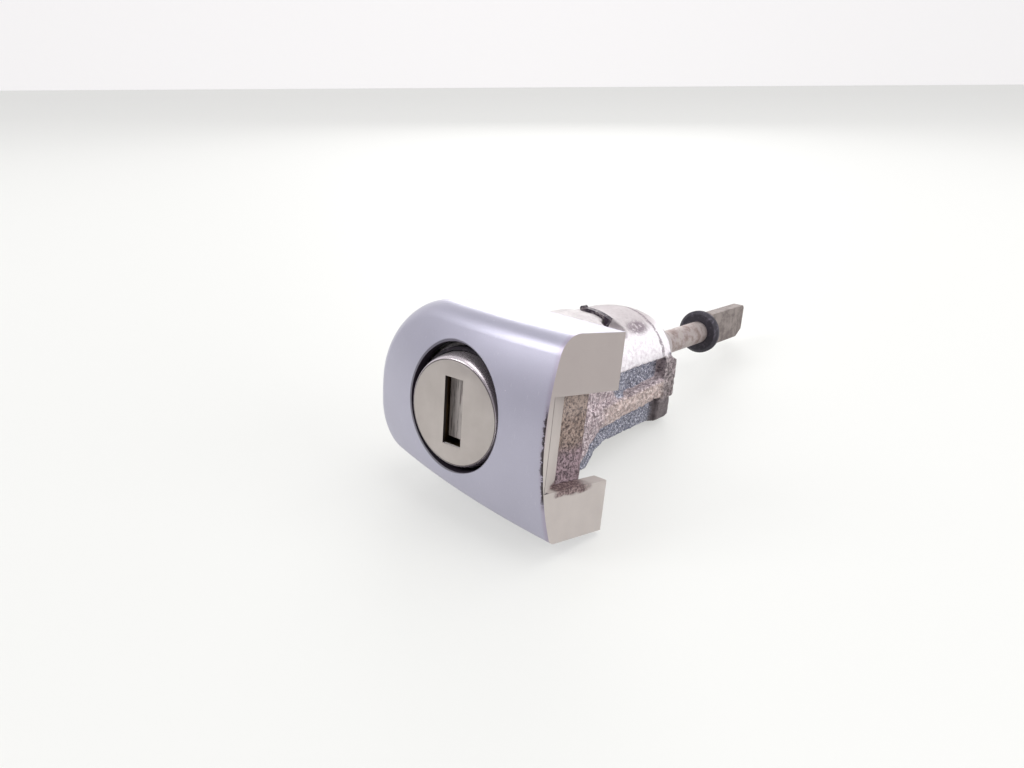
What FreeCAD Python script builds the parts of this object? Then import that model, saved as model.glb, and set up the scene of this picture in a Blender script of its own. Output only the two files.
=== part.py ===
import FreeCAD, Part
import os
import re

import Sketcher
from FreeCAD import Placement, Rotation, Vector

# Car door lock cylinder with its painted end cap. The origin is the centre of the plug's face.
# The key goes in along +Y, the key slot stands along +Z and the door handle butts on the +X flank.

os.makedirs("parts", exist_ok=True)
doc = FreeCAD.newDocument("DoorLockCylinder")

# Driving sizes, in millimetres and degrees

SIZES = [
    # Plug face and key slot
    ("face_r", 8.25, "outer radius of the drawn plug face"),
    ("face_sheet", 0.5, "sheet thickness of the plug face"),
    ("face_skirt", 3.6, "length of the skirt that is pressed over the plug head"),
    ("face_roll", 0.75, "rolled edge of the plug face"),
    ("slot_wide", 3.3, "width of the key slot"),
    ("slot_tall", 9.9, "height of the key slot"),
    ("slot_lift", 0.1, "how far the key slot sits over the axis"),
    # Plug
    ("head_long", 3.3, "thickness of the plug head"),
    ("plug_r", 6.5, "radius of the plug"),
    ("plug_end", 37.6, "where the plug barrel ends, behind the face"),
    ("run_gap", 0.05, "radial running clearance of turning parts"),
    ("end_gap", 0.2, "axial play of turning parts"),
    ("neck_r", 4.2, "radius of the plug neck"),
    ("neck_long", 4.0, "length of the plug neck"),
    ("clip_deep", 0.9, "depth of the circlip groove"),
    ("clip_thick", 0.8, "thickness of the circlip"),
    ("clip_proud", 0.9, "how far the circlip stands out of its groove"),
    ("clip_sweep", 290, "angle that the circlip covers"),
    ("tang_wide", 2.5, "width of the driving tang"),
    ("tang_tall", 4.9, "height of the driving tang"),
    ("tang_long", 2.5, "length of the driving tang"),
    ("fit_gap", 0.05, "gap between pieces that are fitted together"),
    ("keyway_wall", 2.0, "wall behind the keyway"),
    ("past", 1.0, "how far a cut runs past what it cuts"),
    # Wafers
    ("wafer_count", 8, "number of wafers"),
    ("wafer_first", 15.0, "front of the first wafer, behind the face"),
    ("wafer_pitch", 2.6, "distance from wafer to wafer"),
    ("wafer_thick", 1.2, "thickness of a wafer"),
    ("wafer_half", 3.6, "half the width of a wafer"),
    ("wafer_tab", 1.5, "how far a wafer's spring tab stands out"),
    ("tab_low", 1.0, "underside of the spring tab"),
    ("tab_high", 2.0, "top of the spring tab"),
    ("tab_travel", 1.2, "room that the tab has to rise"),
    ("spring_seat", 2.6, "depth of the wafer spring's pocket under the axis"),
    ("wafer_spring_r", 0.55, "outer radius of a wafer spring"),
    ("window_tall", 9.0, "height of the key window in a wafer"),
    ("cut_step", 0.3, "difference between two key cuts"),
    # Dust shutter
    ("shutter_recess", 1.5, "shutter behind the plug face"),
    ("shutter_thick", 0.4, "thickness of the shutter"),
    ("shutter_wide", 3.8, "width of the shutter"),
    ("shutter_low", 4.2, "lower edge of the shutter under the axis"),
    ("eye_r", 0.55, "outer radius of the shutter's eye"),
    ("eye_wide", 2.6, "length of the shutter's eye"),
    ("hinge_z", 5.2, "height of the shutter's hinge over the axis"),
    ("hinge_r", 0.35, "radius of the shutter's pin"),
    ("hinge_long", 7.2, "length of the shutter's pin"),
    ("swing_gap", 0.25, "room round the swinging shutter"),
    ("coil_wall", 0.3, "wire of the shutter's spring"),
    # Casting
    ("nose_front", 4.0, "front face of the casting"),
    ("nose_r", 9.4, "radius of the casting's nose"),
    ("nose_end", 9.0, "rear end of the nose"),
    ("collar_r", 10.8, "radius of the collar in front of the clip"),
    ("collar_end", 29.0, "rear end of the collar"),
    ("barrel_r", 10.15, "radius of the casting's barrel"),
    ("dome_start", 38.0, "where the barrel begins to round off"),
    ("rear_wall", 2.7, "wall of the casting at its rear face"),
    ("barrel_end", 48.3, "rear face of the casting"),
    ("flat_x", 9.2, "flat flanks of the barrel from the axis"),
    ("flat_start", 14.0, "where the flat flanks begin"),
    ("keel_x", 8.8, "half the width of the keel under the barrel"),
    ("keel_low", 10.2, "underside of the keel"),
    ("keel_bevel", 1.6, "bevel of the keel's lower edges"),
    ("recess_deep", 1.8, "depth of the channels beside the rib"),
    ("channel_front", 31.8, "front end of the upper channel"),
    ("channel_slant", 1.4, "slant of the upper channel's front end"),
    ("channel_top", 2.2, "upper edge of the upper channel"),
    ("shelf_deep", 0.4, "depth of the shelf over the rib, in front of the upper channel"),
    ("shelf_front", 16.0, "front end of the shelf"),
    ("rib_top", 2.5, "upper edge of the rib under the axis"),
    ("rib_climb", 0.9, "how far the rib's upper edge climbs to the lug"),
    ("rib_low", 5.3, "lower edge of the rib under the axis, at its narrow end"),
    ("gusset_low", 13.6, "underside of the gusset's foot"),
    ("gusset_foot", 25.0, "rear end of the gusset's foot"),
    ("gusset_wide", 2.8, "thickness of a gusset"),
    ("toe_long", 2.4, "length of the foot's sloping rear"),
    ("toe_tall", 2.5, "height of the foot's sloping rear"),
    ("blend_long", 5.0, "length over which the foot runs into the keel"),
    ("skin_front", 18.0, "front end of the outer skin's lower edge"),
    ("skin_low", 11.8, "the outer skin's lower edge under the axis, at its front end"),
    ("skin_bend", 22.4, "where the skin's lower edge turns from one bend to the other"),
    ("skin_mid", 9.0, "the outer skin's lower edge under the axis, between its bends"),
    ("skin_rear", 26.0, "where the skin's bends run out into the rib"),
    ("skin_climb", 1.0, "how far the rib's lower edge climbs from there to the lug"),
    ("skin_curve", 7.0, "radius of the skin's two bends"),
    ("pad_start", 44.4, "front of the pads on the rear lug"),
    ("pad_end", 48.6, "rear of the pads on the rear lug"),
    ("pad_x", 9.2, "half the width over both pads"),
    ("pad_top", 2.4, "top of a pad over the axis, at its front"),
    ("pad_drop", 1.2, "how far a pad's top drops to its rear"),
    ("pad_low", 5.7, "underside of the pads"),
    ("pad_round", 0.9, "rounding of a pad's lower rear edge"),
    ("lug_start", 45.0, "front of the rear lug"),
    ("lug_end", 49.5, "rear of the rear lug"),
    ("lug_x", 8.3, "half the width of the rear lug"),
    ("lug_low", 10.5, "underside of the rear lug"),
    ("lug_round", 1.5, "rounding of the lug's lower corners"),
    ("shoulder_thick", 2.0, "thickness of the shoulder that holds the plug"),
    ("chamber_r", 5.5, "radius of the rear chamber"),
    ("screw_r", 1.45, "tapping radius of the fixing screw's hole"),
    ("screw_deep", 6.5, "depth of the fixing screw's hole"),
    ("screw_y", 46.8, "fixing screw behind the face"),
    ("screw_low", 8.4, "fixing screw under the axis"),
    # Face seal
    ("seal_front", 2.4, "front of the face seal"),
    ("seal_gap", 0.12, "gap between the seal's lip and the plug face"),
    ("seal_wall", 0.48, "wall of the face seal"),
    ("seal_bevel", 0.25, "bevel of the seal's lip"),
    # End cap
    ("cap_yaw", 7.5, "cap turned towards the handle side"),
    ("cap_tilt", 3.0, "cap turned about the lock axis"),
    ("cap_lean", 5.7, "cap leaning back at its top"),
    ("cap_flank", 16.5, "flank of the cap from the axis"),
    ("cap_left", 19.6, "rounded end of the cap from the axis"),
    ("cap_top", 13.75, "top of the cap at its flank"),
    ("cap_low", 14.2, "underside of the cap at its flank"),
    ("top_slope", 2.6, "slope of the cap's top towards the flank"),
    ("low_slope", 9.5, "slope of the cap's underside towards the flank"),
    ("round_top", 13.2, "upper corner of the cap's rounded end"),
    ("round_low", 7.0, "lower corner of the cap's rounded end"),
    ("cap_rear", 14.6, "rear edge of the cap"),
    ("cap_crest", 0.4, "crest of the crowned face in front of the plug face"),
    ("crest_z", 1.5, "height of the crest over the axis"),
    ("crown_tall", 40.0, "radius of the face's crown from top to bottom"),
    ("crown_wide", 100.0, "radius of the face's crown from side to side"),
    ("top_soft", 3.6, "rounding of the cap's upper front edge"),
    ("side_soft", 2.4, "rounding of the front edge round the end"),
    ("low_soft", 1.2, "rounding of the lower front edge"),
    ("cap_wall", 1.8, "wall of the cap"),
    ("flank_wall", 2.2, "wall of the cap's flank"),
    ("cap_hole_r", 9.1, "radius of the hole round the plug face"),
    ("cap_hole_z", 0.6, "how far the cap's hole sits over the axis"),
    ("cap_hole_x", 0.25, "how far the cap's hole sits to the left of the axis"),
    ("notch_front", 2.0, "front of the notch in the flank"),
    ("notch_ramp", 4.3, "length of the ramp at the front of the notch"),
    ("notch_top", 5.8, "upper edge of the notch over the axis"),
    ("notch_low", 6.9, "lower edge of the notch under the axis"),
    ("flange_gap", 0.2, "gap between the casting's flange and the cap"),
    ("flange_sink", 2.0, "how far the flange's front lies behind the cap's inner face"),
    ("flange_rear", 11.6, "rear face of the casting's flange"),
    # Cap clip
    ("cap_clip_y", 31.4, "front of the clip on the barrel"),
    ("cap_clip_wide", 1.2, "width of the clip"),
    ("cap_clip_thick", 0.55, "thickness of the clip's strip"),
    ("cap_clip_left", 4, "how far the clip reaches past the top, as an angle"),
    ("cap_clip_right", 25, "where the clip's leg goes into its pocket, as an angle"),
    ("leg_thick", 0.5, "thickness of the clip's leg"),
    ("leg_low", 8.6, "inner end of the clip's leg from the axis"),
    ("curl_r", 0.43, "radius of the curled end of the clip"),
    ("clip_pocket_r", 7.8, "floor of the clip's pocket from the axis"),
    ("clip_pocket_end", 34.0, "rear end of the clip's pocket"),
    ("clip_pocket_sweep", 26, "angle that the clip's pocket covers"),
    ("clip_pocket_spare", 5, "room between the clip's leg and the pocket's end, as an angle"),
    # Driver, its spring and stop
    ("hub_gap", 0.1, "gap between the plug's neck and the driver's hub"),
    ("hub_r", 3.6, "radius of the driver's hub"),
    ("hub_long", 2.9, "length of the driver's hub"),
    ("flange_r", 5.2, "radius of the driver's flange"),
    ("flange_long", 2.3, "length of the driver's flange"),
    ("boss_r", 3.0, "radius of the driver's rear boss"),
    ("boss_long", 2.8, "length of the driver's rear boss"),
    ("turn_limit", 45, "turn of the plug each way"),
    ("stop_r", 0.8, "radius of the stop pin"),
    ("stop_reach", 4.3, "inner end of the stop pin under the axis"),
    ("stop_spare", 2, "spare angle at each stop"),
    ("stop_sink", 0.5, "how far the stop pin's outer end lies inside its hole"),
    ("stop_gap", 0.2, "room between the stop pin and the notch's floor"),
    ("spring_r", 4.5, "mean radius of the return spring"),
    ("spring_wire", 0.35, "radius of the return spring's wire"),
    ("spring_pitch", 0.8, "pitch of the return spring"),
    ("spring_turns", 2.5, "turns of the return spring"),
    ("cross_pin_r", 0.6, "radius of the driver's cross pin"),
    # Rear cover, tail and disc
    ("cover_r", 7.45, "radius of the rear cover's rim"),
    ("cover_wall", 0.5, "wall of the rear cover"),
    ("cover_end", 58.8, "rear end of the rear cover"),
    ("cover_hole_gap", 0.15, "gap between the cover and the tail"),
    ("cover_rim", 1.2, "length of the rear cover's straight rim"),
    ("tail_r", 2.25, "radius of the tail"),
    ("tail_inset", 0.6, "front end of the tail behind the front of the driver's flange"),
    ("blade_start", 77.6, "where the tail is flattened to a blade"),
    ("blade_flare", 2.4, "length over which the blade flares"),
    ("blade_long", 18.4, "length of the blade"),
    ("blade_tall", 6.9, "height of the blade"),
    ("blade_thick", 2.2, "thickness of the blade"),
    ("blade_root", 2.1, "half the height of the blade where it leaves the round tail"),
    ("blade_corner", 1.5, "height of the blade's cut lower corner"),
    ("blade_slant", 2.4, "length of the blade's cut lower corner"),
    ("blade_bevel", 0.6, "bevel of the blade's end"),
    ("disc_front", 75.4, "front face of the disc on the tail"),
    ("disc_thick", 1.8, "thickness of the disc"),
    ("disc_r", 4.4, "radius of the disc"),
    ("disc_edge", 0.6, "bevel of the disc's edge"),
]

sheet = doc.addObject("Spreadsheet::Sheet", "Sizes")
for row, (name, amount, note) in enumerate(SIZES, start=1):
    sheet.set("A%d" % row, name)
    sheet.set("B%d" % row, str(amount))
    sheet.setAlias("B%d" % row, name)
    sheet.set("C%d" % row, note)
doc.recompute()
NAMES = {name for name, amount, note in SIZES}


# Rules, sketches and bodies

def linked(rule):
    """The rule as an expression on the sheet: every size name is read from its cell."""
    return re.sub(r"[a-z_]+", lambda w: "Sizes." + w.group() if w.group() in NAMES else w.group(), rule)


def value(rule):
    """What a rule comes to with the present sizes."""
    return float(sheet.evalExpression(linked(rule)))


def bind(item, setting, rule):
    """Tie one setting of an object to a rule."""
    item.setExpression(setting, linked(rule))


def new_body(label):
    body = doc.addObject("PartDesign::Body", label)
    body.Label = label
    return body


def new_sketch(body, name, plane, level="0"):
    """A sketch on one of the body's own planes, lifted along that plane's normal."""
    flat = body.newObject("Sketcher::SketchObject", name)
    support = next(item for item in body.Origin.OriginFeatures if item.Role == plane)
    flat.AttachmentSupport = [(support, "")]
    flat.MapMode = "FlatFace"
    bind(flat, "AttachmentOffset.Base.z", level)
    return flat


def hold(flat, edge, end, across, up):
    """Hold one end of an edge at a place given by two rules."""
    for kind, rule in (("DistanceX", across), ("DistanceY", up)):
        number = flat.addConstraint(Sketcher.Constraint(kind, -1, 1, edge, end, value(rule)))
        bind(flat, "Constraints[%d]" % number, rule)


def arc_between(start, end, radius):
    """The short arc from start to end; a negative radius bends it the other way."""
    first, last = (start, end) if radius > 0 else (end, start)
    chord = last - first
    middle = (first + last) * 0.5
    left = Vector(-chord.y, chord.x, 0).normalize()
    centre = middle + left * (radius * radius - chord.Length ** 2 / 4) ** 0.5
    circle = Part.Circle(centre, Vector(0, 0, 1), abs(radius))
    return Part.ArcOfCircle(circle, circle.parameter(first), circle.parameter(last))


def outline(flat, corners):
    """A closed outline. A corner is (across, up), with a radius rule third where an arc follows it."""
    points = [Vector(value(corner[0]), value(corner[1]), 0) for corner in corners]
    starts, ends = [], []
    for number, corner in enumerate(corners):
        here, there = points[number], points[(number + 1) % len(points)]
        turned_round = len(corner) > 2 and value(corner[2]) < 0
        if len(corner) > 2:
            edge = flat.addGeometry(arc_between(here, there, value(corner[2])), False)
            radius = flat.addConstraint(Sketcher.Constraint("Radius", edge, abs(value(corner[2]))))
            bind(flat, "Constraints[%d]" % radius, "abs(%s)" % corner[2])
        else:
            edge = flat.addGeometry(Part.LineSegment(here, there), False)
        starts.append((edge, 2 if turned_round else 1))
        ends.append((edge, 1 if turned_round else 2))
    for number, corner in enumerate(corners):
        following = starts[(number + 1) % len(corners)]
        flat.addConstraint(Sketcher.Constraint("Coincident", *ends[number], *following))
        hold(flat, *starts[number], corner[0], corner[1])


def ring(flat, radius, across="0", up="0"):
    """A full circle held at its centre."""
    spot = Vector(value(across), value(up), 0)
    edge = flat.addGeometry(Part.Circle(spot, Vector(0, 0, 1), value(radius)), False)
    number = flat.addConstraint(Sketcher.Constraint("Radius", edge, value(radius)))
    bind(flat, "Constraints[%d]" % number, radius)
    hold(flat, edge, 3, across, up)


def block(across, up, wide, tall):
    """Corners of a rectangle about a middle point."""
    right, left = "(%s) + (%s) / 2" % (across, wide), "(%s) - (%s) / 2" % (across, wide)
    top, low = "(%s) + (%s) / 2" % (up, tall), "(%s) - (%s) / 2" % (up, tall)
    return [(left, low), (right, low), (right, top), (left, top)]


def turned(label, profile, sweep="360"):
    """A body turned about the lock axis from a profile of (place along the axis, radius)."""
    body = new_body(label)
    flat = new_sketch(body, label + "_profile", "YZ_Plane")
    outline(flat, profile)
    lathe = body.newObject("PartDesign::Revolution", label + "_turning")
    lathe.Profile = flat
    lathe.ReferenceAxis = (flat, ["H_Axis"])
    bind(lathe, "Angle", sweep)
    return body


def pad(body, name, flat, length, both_ways=False, backwards=False):
    feature = body.newObject("PartDesign::Pad", name)
    feature.Profile = flat
    feature.SideType = "Symmetric" if both_ways else "One side"
    feature.Reversed = backwards
    bind(feature, "Length", length)
    return feature


def pocket(body, name, flat, length, both_ways=False):
    feature = body.newObject("PartDesign::Pocket", name)
    feature.Profile = flat
    feature.SideType = "Symmetric" if both_ways else "One side"
    bind(feature, "Length", length)
    return feature


def pad_back(body, name, corners, front, length):
    """Pad an outline seen from the front, from one place on the lock axis towards the rear."""
    flat = new_sketch(body, name + "_outline", "XZ_Plane", "-(%s)" % front)
    outline(flat, corners)
    return pad(body, name, flat, length, backwards=True)


def pocket_back(body, name, corners, front, length):
    """Cut an outline seen from the front, from one place on the lock axis towards the rear."""
    flat = new_sketch(body, name + "_outline", "XZ_Plane", "-(%s)" % front)
    outline(flat, corners)
    return pocket(body, name, flat, length)


def soften(body, name, feature, radius, wanted):
    """Round the edges of a feature that a test picks out."""
    doc.recompute()
    names = ["Edge%d" % (number + 1) for number, edge in enumerate(feature.Shape.Edges) if wanted(edge)]
    rounding = body.newObject("PartDesign::Fillet", name)
    rounding.Base = (feature, names)
    bind(rounding, "Radius", radius)
    return rounding


def rod(label, radius, length, direction, x="0", y="0", z="0"):
    """A plain pin that starts at a place and runs along a direction."""
    pin = doc.addObject("Part::Cylinder", label)
    pin.Label = label
    bind(pin, "Radius", radius)
    bind(pin, "Height", length)
    pin.Placement = Placement(Vector(), Rotation(Vector(0, 0, 1), direction))
    for axis, rule in (("x", x), ("y", y), ("z", z)):
        bind(pin, "Placement.Base." + axis, rule)
    return pin


def joined(label, pieces):
    union = doc.addObject("Part::MultiFuse", label)
    union.Shapes = pieces
    return union


def cut_away(label, base, tools):
    """The base with every tool taken out of it."""
    cut = doc.addObject("Part::Cut", label)
    cut.Base = base
    cut.Tool = joined(label + "_tools", tools) if len(tools) > 1 else tools[0]
    cut.Label = label
    return cut


RIGHT, BACK, UP = Vector(1, 0, 0), Vector(0, 1, 0), Vector(0, 0, 1)

# Plug face: a drawn steel cup with the key slot punched through it, pressed over the plug head.

face_back = "face_sheet"
face = turned("plug_face", [
    ("0", "0"),
    ("0", "face_r"),
    ("face_skirt", "face_r"),
    ("face_skirt", "face_r - face_sheet"),
    (face_back, "face_r - face_sheet"),
    (face_back, "0"),
])
soften(face, "plug_face_roll", face.Tip, "face_roll",
       lambda edge: edge.BoundBox.YMax < 1e-6 and edge.Length > 1)
pocket_back(face, "plug_face_slot", block("0", "slot_lift", "slot_wide", "slot_tall"), "-past", "2 * past + face_sheet")

# Plug: turned brass with a head, the wafer slots, a circlip neck and a driving tang.

head_r = "(face_r - face_sheet - fit_gap)"
head_back = "(face_sheet + head_long)"
shoulder_front = "(plug_end + end_gap)"
shoulder_back = "(plug_end + end_gap + shoulder_thick)"
clip_front = "(plug_end + 2 * end_gap + shoulder_thick)"
neck_end = "(plug_end + neck_long)"
hinge_y = "shutter_recess"
plug = turned("plug", [
    (face_back, "0"),
    (face_back, head_r),
    (head_back, head_r),
    (head_back, "plug_r"),
    ("plug_end", "plug_r"),
    ("plug_end", "neck_r"),
    (clip_front, "neck_r"),
    (clip_front, "neck_r - clip_deep"),
    (clip_front + " + clip_thick + fit_gap", "neck_r - clip_deep"),
    (clip_front + " + clip_thick + fit_gap", "neck_r"),
    (neck_end, "neck_r"),
    (neck_end, "0"),
])
pad_back(plug, "plug_tang", block("0", "0", "tang_wide", "tang_tall"), neck_end, "tang_long")
pocket_back(plug, "plug_keyway", block("0", "slot_lift", "slot_wide + 2 * fit_gap", "slot_tall + 2 * fit_gap"),
            face_back, "plug_end - keyway_wall - face_sheet")

swing = "(hinge_z + shutter_low + swing_gap)"
flap_top = "(hinge_z + shutter_thick + fit_gap)"
flap_low = "(slot_tall / 2 - slot_lift + swing_gap)"
pocket_back(plug, "plug_swing_room",
            block("0", "(%s - %s) / 2" % (flap_top, flap_low), "shutter_wide + 2 * swing_gap",
                  "%s + %s" % (flap_top, flap_low)),
            face_back, "%s + %s + swing_gap - face_sheet" % (hinge_y, swing))
eye_room = "(2 * (eye_r + swing_gap))"
pocket_back(plug, "plug_eye_room",
            block("0", "hinge_z", "shutter_wide + 2 * swing_gap", eye_room),
            face_back, "%s + eye_r + swing_gap - face_sheet" % hinge_y)
pin_hole = new_sketch(plug, "plug_pin_circle", "YZ_Plane")
ring(pin_hole, "hinge_r + fit_gap / 2", hinge_y, "hinge_z")
pocket(plug, "plug_pin_hole", pin_hole, "hinge_long", both_ways=True)

slot_half = "(wafer_half + fit_gap)"
tab_end = "(wafer_half + wafer_tab + fit_gap)"
slot_front = "(wafer_first - fit_gap)"
slots = pocket_back(plug, "plug_wafer_slot", [
    ("-" + slot_half, "-plug_r - past"),
    (slot_half, "-plug_r - past"),
    (slot_half, "-spring_seat"),
    (tab_end, "-spring_seat"),
    (tab_end, "tab_high + tab_travel"),
    (slot_half, "tab_high + tab_travel"),
    (slot_half, "plug_r + past"),
    ("-" + slot_half, "plug_r + past"),
], slot_front, "wafer_thick + 2 * fit_gap")
row = plug.newObject("PartDesign::LinearPattern", "plug_wafer_slots")
row.Originals = [slots]
row.Direction = (next(item for item in plug.Origin.OriginFeatures if item.Role == "Y_Axis"), [""])
bind(row, "Length", "wafer_pitch * (wafer_count - 1)")
bind(row, "Occurrences", "wafer_count")
plug.Tip = row

# Wafers: brass plates with a key window, drawn in flush with the plug as they are with the key in.

CUTS = [1, -1, 0, 2, -2, 1, 0, -1]
wafer_r = "(plug_r - fit_gap)"
corner_z = "sqrt(%s ^ 2 - wafer_half ^ 2)" % wafer_r
springs = []
for number in range(int(value("wafer_count"))):
    front = "(wafer_first + %d * wafer_pitch)" % number
    cut = CUTS[number % len(CUTS)]
    wafer = new_body("wafer_%d" % (number + 1))
    pad_back(wafer, "wafer_%d_plate" % (number + 1), [
        ("wafer_half", "-" + corner_z),
        ("wafer_half", "tab_low"),
        ("wafer_half + wafer_tab", "tab_low"),
        ("wafer_half + wafer_tab", "tab_high"),
        ("wafer_half", "tab_high"),
        ("wafer_half", corner_z, wafer_r),
        ("-wafer_half", corner_z),
        ("-wafer_half", "-" + corner_z, wafer_r),
    ], front, "wafer_thick")
    pocket_back(wafer, "wafer_%d_window" % (number + 1),
                block("0", "%d * cut_step" % cut, "slot_wide + 2 * fit_gap", "window_tall"),
                front + " - past", "wafer_thick + 2 * past")
    springs.append(rod("wafer_spring_%d" % (number + 1), "wafer_spring_r", "spring_seat + tab_low", UP,
                       "wafer_half + wafer_tab / 2", front + " + wafer_thick / 2", "-spring_seat"))
spring_row = doc.addObject("Part::Compound", "wafer_springs")
spring_row.Links = springs

# Dust shutter: a thin steel flap behind the slot, hung on a pin across the plug head.

coil_room = "(hinge_r + fit_gap + coil_wall)"
eye_left = "(shutter_wide / 2)"
eye_right = "(eye_wide - shutter_wide / 2)"
flap = new_body("shutter")
plate = new_sketch(flap, "shutter_plate_outline", "XZ_Plane", "-(%s)" % hinge_y)
coil_low = "hinge_z - %s - swing_gap" % coil_room
outline(plate, [
    ("-" + eye_left, "-shutter_low"),
    ("shutter_wide / 2", "-shutter_low"),
    ("shutter_wide / 2", coil_low),
    (eye_right, coil_low),
    (eye_right, "hinge_z"),
    ("-" + eye_left, "hinge_z"),
])
pad(flap, "shutter_plate", plate, "shutter_thick", backwards=True)
eye = new_sketch(flap, "shutter_eye_circle", "YZ_Plane", "-" + eye_left)
ring(eye, "eye_r", hinge_y, "hinge_z")
pad(flap, "shutter_eye", eye, "eye_wide")
eye_hole = new_sketch(flap, "shutter_eye_bore", "YZ_Plane")
ring(eye_hole, "hinge_r + run_gap", hinge_y, "hinge_z")
pocket(flap, "shutter_eye_hole", eye_hole, "2 * shutter_wide", both_ways=True)
rod("shutter_pin", "hinge_r", "hinge_long", RIGHT, "-hinge_long / 2", hinge_y, "hinge_z")

coil = new_body("shutter_spring")
coil_end = new_sketch(coil, "shutter_spring_ring", "YZ_Plane", eye_right + " + fit_gap")
ring(coil_end, coil_room, hinge_y, "hinge_z")
ring(coil_end, "hinge_r + fit_gap", hinge_y, "hinge_z")
pad(coil, "shutter_spring_coil", coil_end, "shutter_wide / 2 - %s - fit_gap" % eye_right)

# Circlip in the plug's neck groove: it keeps the plug in the casting.

circlip = turned("circlip", [
    (clip_front, "neck_r - clip_deep + fit_gap"),
    (clip_front, "neck_r + clip_proud"),
    (clip_front + " + clip_thick", "neck_r + clip_proud"),
    (clip_front + " + clip_thick", "neck_r - clip_deep + fit_gap"),
], "clip_sweep")

# Face seal: a rubber ring that lies on the casting's nose round the plug face.

seal_in = "(face_r + seal_gap)"
turned("face_seal", [
    ("seal_front", seal_in),
    ("seal_front", seal_in + " + seal_wall - seal_bevel"),
    ("seal_front + seal_bevel", seal_in + " + seal_wall"),
    ("nose_front", seal_in + " + seal_wall"),
    ("nose_front", seal_in),
])


# Crowned blocks: the cap, its hollow and the casting's flange share one outline and one crowned front.

def cap_top_at(x, inset):
    return "(cap_top + (cap_flank - (%s)) * tan(top_slope) - (%s) / cos(top_slope))" % (x, inset)


def cap_low_at(x, inset):
    return "(-cap_low + (cap_flank - (%s)) * tan(low_slope) + (%s) / cos(low_slope))" % (x, inset)


def crowned_block(label, inset, flank_inset, back_off, rear):
    """The cap's outline moved in by a wall, with its crowned front moved back by the same wall."""
    body = new_body(label)
    right, left = "(cap_flank - (%s))" % flank_inset, "(-cap_left + (%s))" % inset
    stock = "(cap_crest + past)"
    sides = pad_back(body, label + "_sides", [
        (right, cap_low_at(right, inset)),
        (right, cap_top_at(right, inset)),
        (left, cap_top_at(left, inset)),
        (left, cap_low_at(left, inset)),
    ], "-" + stock, "%s + (%s)" % (stock, rear))
    left_x = value(left)
    middle_z = value("(%s + %s) / 2" % (cap_top_at(left, inset), cap_low_at(left, inset)))

    def upright(edge, over):
        box = edge.BoundBox
        return box.XMax < left_x + 1e-6 and box.YLength > 1 and (box.ZMin > middle_z) == over

    soften(body, label + "_round_top", sides, "round_top - (%s)" % inset, lambda edge: upright(edge, True))
    doc.recompute()
    soften(body, label + "_round_low", body.Tip, "round_low - (%s)" % inset,
           lambda edge: upright(edge, False) and edge.BoundBox.ZLength < 1e-6)
    front = new_sketch(body, label + "_crown_profile", "YZ_Plane")
    reach = "(cap_top + cap_low)"
    edge_y = "((%s) - cap_crest + crown_tall - sqrt(crown_tall ^ 2 - %s ^ 2))" % (back_off, reach)
    outline(front, [
        ("-cap_crest - crown_tall", "crest_z - " + reach),
        (edge_y, "crest_z - " + reach, "-crown_tall"),
        (edge_y, "crest_z + " + reach),
        ("-cap_crest - crown_tall", "crest_z + " + reach),
    ])
    axis_y = value("crown_wide - cap_crest")
    axis = Part.LineSegment(Vector(axis_y, -value("past"), 0), Vector(axis_y, value("past"), 0))
    line = front.addGeometry(axis, True)
    hold(front, line, 1, "crown_wide - cap_crest", "-past")
    hold(front, line, 2, "crown_wide - cap_crest", "past")
    crown = body.newObject("PartDesign::Groove", label + "_crown")
    crown.Profile = front
    crown.ReferenceAxis = (front, ["Axis0"])
    crown.Angle = 360
    turn = Rotation(-value("cap_yaw"), -value("cap_tilt"), -value("cap_lean"))
    body.Placement = Placement(Vector(), turn)
    return body


# End cap: a painted moulding with a crowned face, a hole for the plug and a notched flank.

moulding = crowned_block("cap_moulding", "0", "0", "0", "cap_rear")
hollow = crowned_block("cap_hollow", "cap_wall", "flank_wall", "cap_wall", "cap_rear + past")
cap_hole = rod("cap_hole", "cap_hole_r", "2 * cap_rear", BACK, "-cap_hole_x", "-cap_rear", "cap_hole_z")
ramp_x = "(cap_flank - flank_wall)"
notch = new_body("cap_notch")
notch_flat = new_sketch(notch, "cap_notch_outline", "XY_Plane", "-notch_low")
outline(notch_flat, [
    ("cap_flank", "notch_front"),
    ("cap_flank + past", "notch_front"),
    ("cap_flank + past", "cap_rear + past"),
    (ramp_x + " - past", "cap_rear + past"),
    (ramp_x + " - past", "notch_front + notch_ramp"),
    (ramp_x, "notch_front + notch_ramp"),
])
pad(notch, "cap_notch_cut", notch_flat, "notch_low + notch_top")
notch.Placement = moulding.Placement
doc.recompute()


def front_edges(shape, flank):
    """Numbers and radii of the edges round the crowned front, apart from the one at the flank."""
    chosen = []
    to_cap = moulding.Placement.Rotation.inverted()
    for number, edge in enumerate(shape.Edges, start=1):
        ends = [to_cap.multVec(vertex.Point) for vertex in edge.Vertexes]
        if max(point.y for point in ends) > value("cap_rear - past"):
            continue
        if min(point.x for point in ends) > flank - 1e-4:
            continue
        chosen.append((number, ends))
    return chosen


def soft_at(point):
    """Rounding of the cap's front edge at a place on it: large on top, small underneath."""
    if point.z > value("cap_top / 2"):
        return value("top_soft")
    if point.z < value("-cap_low / 2"):
        return value("low_soft")
    return value("side_soft")


rim = doc.addObject("Part::Fillet", "cap_softened")
rim.Base = moulding
rim.Edges = [(number, soft_at(ends[0]), soft_at(ends[-1]))
             for number, ends in front_edges(moulding.Shape, value("cap_flank"))]
cut_away("cap", rim, [hollow, cap_hole, notch])

# Casting: zinc barrel with a long rounded rear, a keel, ribbed flanks, gussets and a rear lug.

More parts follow.
